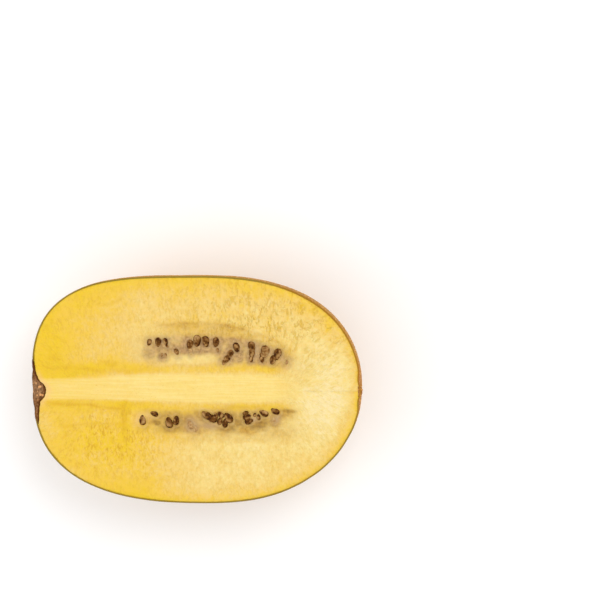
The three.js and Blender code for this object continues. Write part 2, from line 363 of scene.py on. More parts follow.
def strip(edge_a, edge_b, steps=4):
    """A grid of points that joins two lines of points."""
    t = np.linspace(0, 1, steps + 1)[None, :, None]
    return change(edge_a[:, None, :], edge_b[:, None, :], t)


# ---- The cut face: what lies where ----

CORE_FROM, CORE_TO = -34.5, 21.5
# Where the core's edges lie, by the stem and in its middle.
CORE_UPPER, CORE_LOWER = (2.35, 3.45), (-2.05, -2.4)
TISSUE_TOP, TISSUE_BEND, BEND_FROM = 11.9, 0.016, 4
RIDGE_TOP, RIDGE_BEND = 14.7, 0.0125
FAN_FROM, FAN_TO = -23.0, 17.0
ALONG, ACROSS, UNDER = 350, 230, 22
GAP_UNDER_SKIN = 0.03
FACE_SUNK, BUTTON_SUNK = 0.05, 1.4

# Soft patches, each with its centre, reach, strength and power. Strengths above 0 make the flesh
# creamier, those below 0 more golden.
CREAM_PATCHES = [
    ((-1.0, -5.0), (3.2, 0.8), -0.3), ((-19.6, -5.6), (3.2, 1.3), 0.14, 4),
    ((-32.0, 7.5), (4.6, 6.5), -0.34, 2.4), ((-22.0, -11.0), (7.0, 3.0), -0.2),
    ((-15.9, -7.5), (1.3, 6.5), -0.3, 3), ((-5.0, -9.8), (6.0, 2.6), -0.12),
    ((-23.0, 19.5), (3.6, 2.6), -0.16), ((16.2, 5.7), (2.0, 1.3), -0.26),
    ((24.6, 17.4), (3.0, 1.6), -0.2), ((29.4, 13.6), (1.6, 3.0), -0.2),
    ((13.0, 21.6), (7.0, 1.6), -0.12),
]
PALE_ENDS = [((29.0, 1.5), (6.5, 12.5), 0.28, 2.6), ((-33.5, -7.0), (2.6, 5.0), 0.12)]
GOLD_BLOTCHES = [((-18.3, 5.6), (1.4, 0.9)), ((-31.2, 6.9), (1.5, 0.8))]
TAN_PATCHES = [
    ((8.0, -9.6), (14.0, 1.6), 0.28, 4), ((-10.3, -6.7), (1.4, 0.9), 0.35),
    ((19.0, -4.6), (2.2, 1.0), 0.4, 2.6), ((10.0, -3.6), (5.0, 0.6), 0.4),
]
PEACH_PATCHES = [((-12.7, -6.2), (1.3, 1.6), 0.7), ((-10.4, -5.7), (0.9, 0.8), 0.4)]
LILAC_PATCHES = [
    ((-1.2, -7.6), (1.4, 1.8)), ((2.2, -7.7), (1.8, 0.8)), ((16.9, -6.1), (1.0, 1.2)),
    ((12.0, -6.3), (0.9, 0.6)), ((13.3, 8.6), (0.7, 1.3)),
]
WORMY_PATCHES = [((17.0, 15.0), (19.0, 8.0), 0.65, 2.6), ((28.0, 0.0), (7.0, 8.0), -0.1)]
# The wet translucent patches in the seed tissue.
GEL_PATCHES = [
    ((-5.6, -7.9), (3.1, 1.2)), ((-9.0, -7.0), (1.2, 0.6)), ((6.3, -8.1), (2.3, 0.9)),
    ((8.9, -6.9), (1.1, 0.9)), ((13.0, -7.2), (2.3, 1.1)), ((19.7, -4.4), (1.4, 0.4)),
    ((-7.0, 7.3), (1.2, 0.9)), ((9.3, 8.0), (1.7, 1.3)), ((-2.4, 8.5), (1.6, 0.9)),
    ((-7.4, 10.5), (0.7, 0.9)),
]


def core_share(x, y, soft):
    """1 on the pale core and 0 off it; the core widens away from the stem."""
    upper = change(*CORE_UPPER, ramp(x, -31, -7)) - 1.2 * ramp(x, 13, 24)
    lower = change(*CORE_LOWER, ramp(x, -26, -8)) + 1.0 * ramp(x, 13, 24)
    return between(y + 0.14 * layered(x, y, 7.0, 9.0, seed=17), lower, upper, soft)


def turned(x, y, angle):
    c, s = math.cos(angle), math.sin(angle)
    return x * c - y * s, x * s + y * c


def seed_distance(x, y):
    """How far each point is from its nearest seed, where 1 is the seed's own edge."""
    nearest = np.full(x.shape, 99.0)
    for sx, sy, size, turn, _ in SEEDS["upper"] + SEEDS["lower"]:
        u, v = turned(x - sx, y - sy, -turn)
        reach = np.hypot(u / (SEED_WIDTH * size / 2), v / (SEED_LENGTH * size / 2))
        nearest = np.minimum(nearest, reach)
    return nearest


def edge_distance(x, y):
    """Distance from points on the cut face to the fruit's outline."""
    xs = along_stations(500, STEM_X, TIP_X)
    edge_x = np.tile(xs, 2)
    edge_y = np.concatenate([body_radius(xs, 0.0), -body_radius(xs, math.pi)])
    nearest = []
    for u, v in zip(x, y):
        gap = (u[:, None] - edge_x) ** 2 + (v[:, None] - edge_y) ** 2
        nearest.append(gap.min(1))
    return np.sqrt(nearest)


def grain_coordinates(x, y):
    """Places in mm across and along the flesh's fibres, which fan out from the core."""
    past = np.where(x > FAN_TO, x - FAN_TO, np.where(x < FAN_FROM, x - FAN_FROM, 0.0))
    turn = np.arctan2(past, np.abs(y) + 3.0)
    across = np.clip(x, FAN_FROM, FAN_TO) + 16.0 * turn
    along = np.hypot(past, y)
    return np.stack([across, along * np.sign(y), 0 * x], -1)


def skin_band(x, y, edge):
    """The golden band under the skin; on the lower side it fades out towards the stem."""
    upper_depth = 0.58 - 0.34 * bell(x, -28, 5)
    lower_depth = 0.62 * (1 - ramp(-x, 12, 25)) + 0.1 * ramp(x, 25, 33)
    upper_width = 1.2 + 1.3 * (1 - ramp(x, -2, 14))
    lower_width = 1.75 + 0.7 * ramp(x, 26, 33)
    depth = np.where(y > 0, upper_depth, lower_depth)
    return depth * np.exp(-edge / np.where(y > 0, upper_width, lower_width))


def core_stripes(x, wx, wy):
    """The golden stripes beside the core."""
    upper = 0.42 - 0.2 * ramp(x, -14, -4) + 0.1 * ramp(x, 2, 9)
    line = 4.1 + 0.9 * ramp(x, -28, -18)
    upper = upper * bell(wy, line, 1.6 - 0.4 * ramp(x, -28, -18)) * between(wx, -36, 19, 2.0)
    lower = 0.16 + 0.14 * ramp(x, -20, -15) + 0.18 * ramp(x, 0, 10)
    lower = lower * bell(wy, -3.7, 1.2) * between(wx, -33, 19.5, 3.0)
    return upper + lower


def cream_of_flesh(x, y, edge):
    """How creamy the flesh is: 0 is the deepest yellow, 1 the palest."""
    wx, wy = warped(x, y, 1.2, 6.0, seed=3)
    upper = 0.37 + 0.26 * ramp(wx, -30, -9)
    lower = 0.33 + 0.43 * ramp(wx, -19, 3)
    cream = change(lower, upper, ramp(wy, -2, 2))
    cream = cream - skin_band(x, y, edge) - core_stripes(x, wx, wy)
    return cream + sum_of_blobs(wx, wy, CREAM_PATCHES) + sum_of_blobs(x, y, PALE_ENDS)


def golden_veins(x, y):
    """The deep golden veins near the stem, with a hook near the upper edge and two blotches."""
    wx, wy = warped(x, y, 0.8, 3.0, seed=13)
    thick = 0.42 + 0.2 * layered(x, y, 4.0, 4.0, seed=25)
    under_core = bell(wy, -3.2 - 0.8 * ramp(x, -25, -17), thick) * between(wx, -33, -15.5, 1.5)
    lowest = bell(wy, -7.3 - 0.8 * (1 - ramp(x, -30, -23)), thick) * between(wx, -30, -16, 1.5)
    over_core = bell(wy, 4.6 - 0.5 * ramp(x, -26, -16), 1.3 * thick) * between(wx, -33, -9, 2.0)
    crossing = blob(wx, wy, (-15.7, -5.8), (0.8, 4.2), power=3)
    ring = np.hypot((wx + 19.0) / 4.2, (wy - 21.0) / 2.2)
    hook = bell(ring, 1.0, 0.16) * blob(x, y, (-17.2, 19.8), (3.8, 2.2), power=3)
    blotches = sum_of_blobs(wx, wy, GOLD_BLOTCHES)
    veins = np.maximum.reduce([
        under_core, 0.7 * lowest, 0.6 * over_core, 0.9 * crossing, 0.6 * hook, 0.6 * blotches,
    ])
    return veins * (0.75 + 0.5 * layered(x, y, 1.6, 1.2, seed=27))


class CutFace:
    """Points of the cut face and its zones, each 1 inside and 0 outside."""

    def __init__(self, x, y):
        self.x, self.y = x, y
        self.wx, self.wy = warped(x, y, 0.9, 4.0, seed=5)
        self.edge = edge_distance(x, y)
        self.gap = seed_distance(x, y)
        self.core = self.core_zone()
        self.tissue_top = TISSUE_TOP - TISSUE_BEND * np.maximum(0, x - BEND_FROM) ** 2
        self.tissue = self.tissue_zone()
        self.pocket = blob(self.wx, self.wy, (-1.3, 6.7), (6.2, 1.3), power=4)
        self.ridge_y = RIDGE_TOP - RIDGE_BEND * x ** 2 + 0.25 * layered(x, y, 2.6, 9.0, seed=23)
        self.ridge = bell(y, self.ridge_y, 0.3) * between(self.wx, -7.5, 18.5, 2.0)
        self.ridge = self.ridge * (0.55 + 0.45 * layered(x, y, 2.0, 5.0, seed=29))
        self.flesh = (1 - self.core) * (1 - self.tissue)
        self.wormy = self.wormy_zone()
        self.streaks = 0.2 + blob(self.wx, self.wy, (-18.8, -11.3), (10.0, 6.2), 0.8, 3)
        self.streaks = self.streaks * self.flesh * ramp(self.edge, 0.8, 2.5)
        self.rim = bell(self.gap, 1.32, 0.16) * (0.5 + 0.5 * layered(x, y, 1.6, 1.6, seed=37))
        grain = grain_coordinates(x, y)
        self.across = grain[..., 0] + 0.3 * noise(x, y, 1.8, 1.8, seed=5)
        self.along = grain[..., 1]
        self.furrows = ramp(layered(self.across, self.along, 0.75, 2.3, seed=81, layers=2), 0.12, 0.5)

    def core_zone(self):
        """The core with the fading ends that its colour has."""
        core = core_share(self.x, self.y, 0.5 + 0.4 * ramp(self.x, -4, 20))
        core = core * (1 - ramp(self.wx, CORE_TO - 6, CORE_TO + 3))
        return core * ramp(self.x, CORE_FROM - 1, CORE_FROM + 1)

    def tissue_zone(self):
        """The shrunken tissue round the two rows of seeds."""
        tall = 3.3 - 0.07 * np.maximum(0, self.x - 6)
        middle = (self.tissue_top + 5.4) / 2
        upper = blob(self.wx, (self.wy - middle) / tall, (4.4, 0.0), (16.8, 1.0), power=5)
        lower = blob(self.wx, self.wy, (4.6, -6.9), (15.8, 2.6), power=5)
        return np.maximum(upper, lower)

    def wormy_zone(self):
        """The crinkled flesh, strongest at the upper right."""
        wormy = 0.35 + sum_of_blobs(self.x, self.y, WORMY_PATCHES)
        return wormy * (1 - self.core) * (1 - 0.7 * self.tissue)

    def cream(self):
        cream = cream_of_flesh(self.x, self.y, self.edge)
        of_core = 0.44 + 0.29 * ramp(self.x, -32, -8)
        cream = change(cream, of_core, self.core) + 0.06 * layered(self.x, self.y, 5.5, 3.6, seed=31)
        cream = change(cream, 0.74, self.pocket)
        # Painted shade: the flesh is a darker yellow down in the furrows of its crinkles.
        return cream - 0.16 * self.furrows * self.flesh * self.wormy

    def gel(self):
        gel = 0.82 * self.tissue * self.near_seeds() * (1 - 0.4 * self.pocket)
        for centre, reach in GEL_PATCHES:
            gel = np.maximum(gel, blob(self.wx, self.wy, centre, reach, 1.2, 2.6))
        return gel

    def near_seeds(self):
        return 1 - ramp(self.gap, 1.2, 2.8)

    def tan(self):
        """The browner tissue, its shoulders, and the ridge above the upper row."""
        tan = 0.64 * self.tissue * (0.8 + 0.3 * self.near_seeds()) * (1 - 0.9 * self.pocket)
        shoulder = blob(self.wx, self.wy - self.tissue_top - 0.6, (2.6, 0.0), (10.5, 2.0), power=4)
        under_ridge = bell(self.y, self.ridge_y - 0.4, 0.8) * between(self.wx, -7.5, 20, 2.0)
        tan = tan + 0.55 * self.ridge + 0.38 * shoulder + 0.2 * under_ridge
        tan = tan + sum_of_blobs(self.wx, self.wy, TAN_PATCHES)
        return tan * (0.9 + 0.7 * layered(self.x, self.y, 1.9, 1.4, seed=41))

    def warm(self):
        """Where the tissue is golden and not mauve: the lower row and the upper row's outside."""
        return np.maximum(ramp(-self.y, -1, 1), ramp(self.wy - self.tissue_top, -0.8, 0.6))

    def peach(self):
        """Peach flesh behind the stem button and by the lower row's first seeds."""
        behind = bell(self.x, button_back(self.y) + 0.4, 0.7) * (1 - ramp(np.abs(self.y), 2.2, 5.0))
        return behind + sum_of_blobs(self.wx, self.wy, PEACH_PATCHES)

    def fields(self):
        return {
            "cream": self.cream(), "core": self.core, "tan": self.tan(), "gel": self.gel(),
            "rim": self.rim, "lilac": sum_of_blobs(self.wx, self.wy, LILAC_PATCHES),
            "warm": self.warm(), "wormy": self.wormy, "streaks": self.streaks,
            "peach": self.peach(), "gold": golden_veins(self.x, self.y) * (1 - self.core),
        }

    def relief(self):
        """Height in mm: the core stands proud, the seed tissue has shrunk in, the flesh is
        crinkled, and the face drops at the skin and at the button."""
        x, y = self.x, self.y
        core = 0.1 * core_share(x, y, 1.1) * between(x, -34, 19, 3.0)
        core = core + 0.04 * self.core * layered(x, y, 11.0, 0.5, seed=51)
        sunk = (0.2 + 0.05 * layered(x, y, 1.2, 0.9, seed=61)) * (1 - 0.5 * self.pocket)
        sunk = sunk - 0.14 * self.rim + 0.12 * (1 - ramp(self.gap, 0.9, 1.2))
        fibres = layered(self.across, self.along, 0.7, 1.7, seed=71) * np.clip(self.streaks + 0.3, 0, 1)
        grains = layered(x, y, 0.95, 0.9, seed=87, layers=2)
        flesh = self.flesh * (0.04 * fibres + 0.04 * grains - 0.1 * self.furrows * self.wormy)
        uneven = 0.09 * layered(x, y, 14.0, 10.0, seed=91, layers=2)
        at_skin = 0.05 * bell(self.edge, 1.2, 0.6) - 0.12 * np.exp(-(self.edge - SKIN_THICK) / 0.3)
        on_button = (1 - ramp(x - button_back(y), -0.3, -0.05)) * (np.abs(y) < BUTTON_RADIUS)
        face = core - self.tissue * sunk + 0.14 * self.ridge + flesh + uneven
        return face + at_skin - BUTTON_SUNK * on_button


def make_cut_flesh():
    """The cut face as a fine mesh, closed by a plain body that the skin hides."""
    inset = SKIN_THICK - GAP_UNDER_SKIN
    xs = along_stations(ALONG, STEM_X + BUTTON_BURIED, TIP_X - inset)
    t = np.linspace(0, 1, ACROSS + 1)
    low, high = -body_radius(xs, math.pi, inset), body_radius(xs, 0.0, inset)
    x = np.repeat(xs[:, None], ACROSS + 1, 1)
    y = change(low[:, None], high[:, None], t[None, :])
    face = CutFace(x, y)
    top = np.stack([x - tip_dimple(x, np.abs(y)), y, CUT_Z + face.relief() - FACE_SUNK], -1)

    angle = np.linspace(math.pi, 0, UNDER + 1)[None, :]
    radius = body_radius(xs[:, None], angle, inset)
    z = np.maximum(CUT_Z - radius * np.sin(angle), SKIN_THICK)
    under = np.stack([xs[:, None] - tip_dimple(xs[:, None], radius), radius * np.cos(angle), z], -1)
    under[:, 0, 2] = top[:, 0, 2]
    under[:, -1, 2] = top[:, -1, 2]

    hidden = np.full(under.shape[0] * under.shape[1], 0.4)
    fields = [
        (name, np.concatenate([np.clip(zone, 0, 1).ravel(), hidden]))
        for name, zone in face.fields().items()
    ]
    grain = np.concatenate([grain_coordinates(x, y).reshape(-1, 3), under.reshape(-1, 3)])
    return mesh_of_sheets("cut_flesh", [top, under], fields + [("grain", grain)])


# ---- Seeds ----

SEED_AROUND, SEED_BANDS = 24, 18
SEED_FLATTER = 0.9
PALE_DRAW = 4096


def drop_shape():
    """Unit seed: round at +Y, drawn to a blunt point at -Y, longest along Y."""
    v = np.linspace(0, math.pi, SEED_BANDS + 1)[:, None]
    a = np.linspace(0, 2 * math.pi, SEED_AROUND + 1)[None, :]
    y = np.cos(v) + 0 * a
    girth = np.sin(v) ** 0.9 * (0.86 + 0.2 * np.cos(v)) + 0 * a
    return np.stack([girth * np.cos(a) / 0.98, y, girth * np.sin(a)], -1)


def seed_points(shape, place, outward, deep):
    """One seed's points: the drop at its size, gently dented, turned and let into the tissue."""
    x, y, size, turn, _ = place
    half = np.array([SEED_WIDTH, SEED_LENGTH * outward, SEED_HEIGHT * SEED_FLATTER]) * size / 2
    p = shape * half
    dent = 0.05 * noise(p[:, 0] + x * 3, p[:, 1] + p[:, 2] * 1.7 + y * 3, 0.35, 0.35, seed=9)
    p = p * (1 + dent[:, None])
    u, v = turned(p[:, 0], p[:, 1], turn)
    return np.stack([u + x, v + y, p[:, 2] + CUT_Z - ROW_SUNK - deep], -1)


def make_seeds(name, places, outward):
    """Closed drops, their points turned to the core. pale is 0 on a seed's dark rim and its unlit
    side, rises on a painted highlight on one side of each seed, and is 1 on a faded seed."""
    drop = drop_shape()
    shape = drop.reshape(-1, 3)
    rim = ramp(np.hypot(shape[:, 0], shape[:, 1]), 0.7, 0.92)
    points, faces, pale = [], [], []
    draw = seeded_random(PALE_DRAW + len(places))
    for k, place in enumerate(places):
        size, fade = place[2], place[4]
        deep = 0.08 + 0.3 * fade * size + 0.06 * next(draw)
        points.append(seed_points(shape, place, outward, deep))
        faces.append(sheet_faces(*drop.shape[:2], start=k * len(shape)))
        # Painted highlight: one side of each seed, turned at random, is made paler as if lit.
        side = 2 * math.pi * next(draw)
        unlit_flank = ramp(shape[:, 0] * math.cos(side) + shape[:, 1] * math.sin(side), -0.3, 0.3)
        inside = (0.12 + 0.4 * next(draw)) * (1 - rim) * (1 - unlit_flank)
        pale.append(fade + (1 - fade) * inside)
    fields = [("pale", np.concatenate(pale))]
    return build_mesh(name, np.concatenate(points), np.concatenate(faces), fields)


# ---- Stem button ----

BUTTON_BANDS, BUTTON_TURNS, BUTTON_DEEP = 70, 96, 8
BUTTON_CLEAR = 0.15
FURROW_RADIUS = 4.1


def button_front(radius, angle):
    """The button's weathered outside: a stub of the stalk, a furrow, a cracked rim."""
    backward = np.sin(angle) ** 2
    furrow = (0.12 + 0.4 * backward) * bell(radius, FURROW_RADIUS, 0.9)
    furrow = furrow + 0.1 * backward * bell(radius, 6.1, 0.35)
    stub = 0.1 * bell(radius, 0, 0.9)
    along, round_ = radius * np.cos(angle), radius * np.sin(angle)
    rough = 0.09 * layered(along, round_, 0.9, 0.9, seed=141) * ramp(radius, 0.3, 2)
    cracks = ramp(noise(angle * 9, radius * 0.5, 1.0, 1.0, seed=143), 0.35, 0.8)
    cracks = 0.16 * cracks * ramp(radius, 4.5, 6.5)
    return surface_x(radius, angle) + np.maximum(0.05 + furrow + stub + rough + cracks, 0.0)


def chip_cut_face(body, depth):
    """Roughen the two half faces that the cut has left on the button."""
    for column in (0, -1):
        face = body[:, column]
        chips = 0.14 * layered(face[:, :, 0] * 1.3, face[:, :, 1], 0.8, 0.7, seed=151) - 0.06
        face[:, :, 2] += chips * np.sin(math.pi * depth) ** 0.5


def button_hollows(radius, angle):
    """Where the front is darkest: in its furrows and along its rim."""
    hollow = bell(radius, FURROW_RADIUS, 0.8) + 0.7 * ramp(radius, 6.5, 7.4) + 0.5 * bell(radius, 6.0, 0.3)
    return np.clip(hollow * (0.8 + 0.6 * layered(radius, angle * 4, 1.1, 1.1, seed=153)), 0, 1)


def make_button():
    """A half disc of wood. Its grid runs from the middle out, round the half, and from the front
    to the back; margin is the distance in mm to the back on the cut face."""
    s = np.linspace(0, 1, BUTTON_BANDS + 1)[:, None]
    angle = np.linspace(0, math.pi, BUTTON_TURNS + 1)[None, :]
    edge = (BUTTON_RADIUS - BUTTON_CLEAR) * (1 + 0.012 * noise(angle * 7, 0 * angle, 1.0, 1.0, seed=145))
    radius = np.maximum(s * edge, 1e-4)
    share = upper_share(angle)
    front = button_front(radius, angle + 0 * s)
    signed = radius * np.sign(np.cos(angle) + 1e-9)
    back = np.maximum(button_back(signed, share + 0 * s), front + 0.1)

    depth = np.linspace(0, 1, BUTTON_DEEP + 1)[None, None, :]
    x = change(front[:, :, None], back[:, :, None], depth)
    y = (radius * np.cos(angle))[:, :, None] + 0 * depth
    drop = (radius * np.sin(angle))[:, :, None] + 0 * depth
    body = np.stack([x, y, CUT_Z - drop], -1)
    chip_cut_face(body, depth[0])

    margin = (back - front)[:, :, None] * (1 - depth)
    margins = [np.ones_like(front), margin[:, :, -1], margin[-1], margin[:, 0], margin[:, -1]]
    sheets = [body[:, :, 0], body[:, :, -1], body[-1], body[:, 0], body[:, -1]]
    margins = np.concatenate([v.ravel() for v in margins])
    hollows = np.zeros(len(margins))
    hollows[:front.size] = button_hollows(radius, angle).ravel()
    return mesh_of_sheets("stem_woody", sheets, [("margin", margins), ("hollow", hollows)])


# ---- Skin ----

SKIN_ALONG, SKIN_ROUND = 230, 150
OPENING = BUTTON_RADIUS - 0.5
EDGE_BULGE = 0.05


def make_skin():
    """A thin half shell, open at the stem button, with a slightly raised cut edge."""
    s = along_stations(SKIN_ALONG, 0, 1, crowding=0.85)[:, None]
    angle = np.linspace(math.pi, 0, SKIN_ROUND + 1)[None, :]
    start = surface_x(OPENING, angle)
    outer = skin_surface(start + s * (TIP_X - start), angle + 0 * s, 0.0)
    inner_start = start + SKIN_THICK * 0.6
    inner = skin_surface(inner_start + s * (TIP_X - SKIN_THICK - inner_start), angle + 0 * s, SKIN_THICK)
    sheets = [outer, inner]
    for k in (0, -1):
        edge = strip(outer[:, k], inner[:, k])
        edge[:, :, 2] += EDGE_BULGE * np.sin(math.pi * np.linspace(0, 1, edge.shape[1]))
        sheets.append(edge)
    sheets.append(strip(outer[0], inner[0]))
    return mesh_of_sheets("skin_rind", sheets)


# Corky dots: low lens-shaped domes in rings round the fruit, each pushed off its place at random.
DOT_SPACING, DOT_JITTER, DOT_KEPT = 0.72, 0.32, 0.9
DOT_SIDES = 6
DOT_RADIUS, DOT_RADIUS_SPREAD = 0.12, 0.11
DOT_DRAW, DOT_SIZE_DRAW = 77, 78
RING_ENDS, TURN_ENDS = 0.02, 0.02
# How far the dots stay from the cut face, the floor, the button and the blossom tip.
CLEAR_OF_CUT, CLEAR_OF_FLOOR, CLEAR_OF_BUTTON, CLEAR_OF_TIP = 0.3, 0.12, 0.3, 1.6


def surface_frame(x, angle):
    """A point of the skin and the outward direction there."""
    step = 0.02
    here = skin_surface(x, angle, 0.0)
    along = skin_surface(x + step, angle, 0.0) - skin_surface(x - step, angle, 0.0)
    round_ = skin_surface(x, angle + step, 0.0) - skin_surface(x, angle - step, 0.0)
    normal = unit(np.cross(along, round_))
    outward = np.sign((normal * (here - [CREST_X, 0, CUT_Z])).sum(-1, keepdims=True))
    return here, normal * outward


def dot_rings():
    """x and angle of each dot, ring by ring along the surface from the stem end to the tip."""
    fine = along_stations(4000, STEM_X + RING_ENDS, TIP_X - RING_ENDS, crowding=0.95)
    radius = body_radius(fine, math.pi / 2)
    path = np.concatenate([[0], np.cumsum(np.hypot(np.diff(fine), np.diff(radius)))])
    draw = np.random.default_rng(DOT_DRAW)
    xs, angles = [], []
    for k in range(1, int(path[-1] / DOT_SPACING)):
        ring_x = np.interp(k * DOT_SPACING, path, fine)
        ring_radius = max(float(body_radius(ring_x, math.pi / 2)), 0.3)
        count = max(2, int(math.pi * ring_radius / DOT_SPACING))
        turn = (np.arange(count) + 0.5 * (k % 2)) / count * math.pi
        turn = turn + draw.uniform(-DOT_JITTER, DOT_JITTER, count) / ring_radius
        place = k * DOT_SPACING + draw.uniform(-DOT_JITTER, DOT_JITTER, count)
        keep = (draw.random(count) < DOT_KEPT) & (turn > TURN_ENDS) & (turn < math.pi - TURN_ENDS)
        xs.append(np.interp(place, path, fine)[keep])
        angles.append(turn[keep])
    return np.concatenate(xs), np.concatenate(angles)


def dot_places():
    """The dots of the rings that are clear of all edges."""
    x, angle = dot_rings()
    radius = body_radius(x, angle)
    below_cut = radius * np.sin(angle)
    clear = (CUT_Z - below_cut > CLEAR_OF_FLOOR) & (below_cut > CLEAR_OF_CUT)
    clear &= ~((x < CREST_X) & (radius < BUTTON_RADIUS + CLEAR_OF_BUTTON))
    clear &= ~((x > CREST_X) & (radius < CLEAR_OF_TIP))
    return x[clear], angle[clear]


def dot_faces(count):
    """Triangles of count dots, whose points are a top, a foot and a ring."""
    k = np.arange(DOT_SIDES)
    upper = np.stack([0 * k, 2 + k, 2 + (k + 1) % DOT_SIDES], -1)
    lower = np.stack([0 * k + 1, 2 + (k + 1) % DOT_SIDES, 2 + k], -1)
    one = np.concatenate([upper, lower])
    return (one[None] + (DOT_SIDES + 2) * np.arange(count)[:, None, None]).reshape(-1, 3)


def make_skin_dots():
    here, normal = surface_frame(*dot_places())
    draw = np.random.default_rng(DOT_SIZE_DRAW)
    size = DOT_RADIUS + DOT_RADIUS_SPREAD * draw.random(len(here)) ** 2
    side = unit(np.cross(normal, [0.0, 0.31, 0.95]))
    other = np.cross(normal, side)
    turn = (2 * np.pi * np.arange(DOT_SIDES) / DOT_SIDES)[None, :, None]
    spoke = side[:, None, :] * np.cos(turn) + other[:, None, :] * np.sin(turn)
    ring = here[:, None, :] + size[:, None, None] * spoke - 0.015 * normal[:, None, :]
    top = here + (0.1 * size + 0.03)[:, None] * normal
    foot = here - 0.08 * normal
    points = np.concatenate([top[:, None, :], foot[:, None, :], ring], 1)
    points[:, :, 2] = np.maximum(points[:, :, 2], 0.0)
    return build_mesh("skin_dots", points.reshape(-1, 3), dot_faces(len(here)), closed=True)


# ---- Blossom tip: the dry, ridged remains of the flower, cut in half with the fruit ----

TIP_BANDS, TIP_TURNS, TIP_RIDGES = 26, 60, 7
TIP_RADIUS, TIP_FRONT, TIP_BACK = 0.95, 0.25, 0.7
TIP_HIGHEST = 0.65


def make_blossom_tip():
    s = np.linspace(0, 1, TIP_BANDS + 1)[:, None]
    angle = np.linspace(0, math.pi, TIP_TURNS + 1)[None, :]
    lobes = 1 + 0.16 * np.cos(2 * TIP_RIDGES * angle) * s
    lobes = lobes + 0.1 * noise(angle * 5, 4 * s, 1.0, 1.0, seed=161)
    radius = np.maximum(s * TIP_RADIUS * lobes, 1e-4)
    y, drop = radius * np.cos(angle), radius * np.sin(angle)
    height = 0.56 * (1 - s ** 2.2) + 0.13 * noise(y * 3, drop * 3, 1, 1, seed=163)
    height = np.clip(height - 0.28 * bell(s, 0.0, 0.25), 0.0, TIP_HIGHEST)
    dome = np.stack([TIP_X - TIP_FRONT + height, y, CUT_Z - drop], -1)
    base = dome.copy()
    base[:, :, 0] = TIP_X - TIP_BACK
    caps = [strip(dome[:, k], base[:, k]) for k in (0, -1)]
    return mesh_of_sheets("blossom_tip", [dome, base, strip(dome[-1], base[-1]), *caps])


# ---- Materials ----

def linear(colour):
    """A colour from 0 to 255, as the shader's linear values."""
    shares = [c / 255 for c in colour]
    return (*(c / 12.92 if c <= 0.04045 else ((c + 0.055) / 1.055) ** 2.4 for c in shares), 1.0)


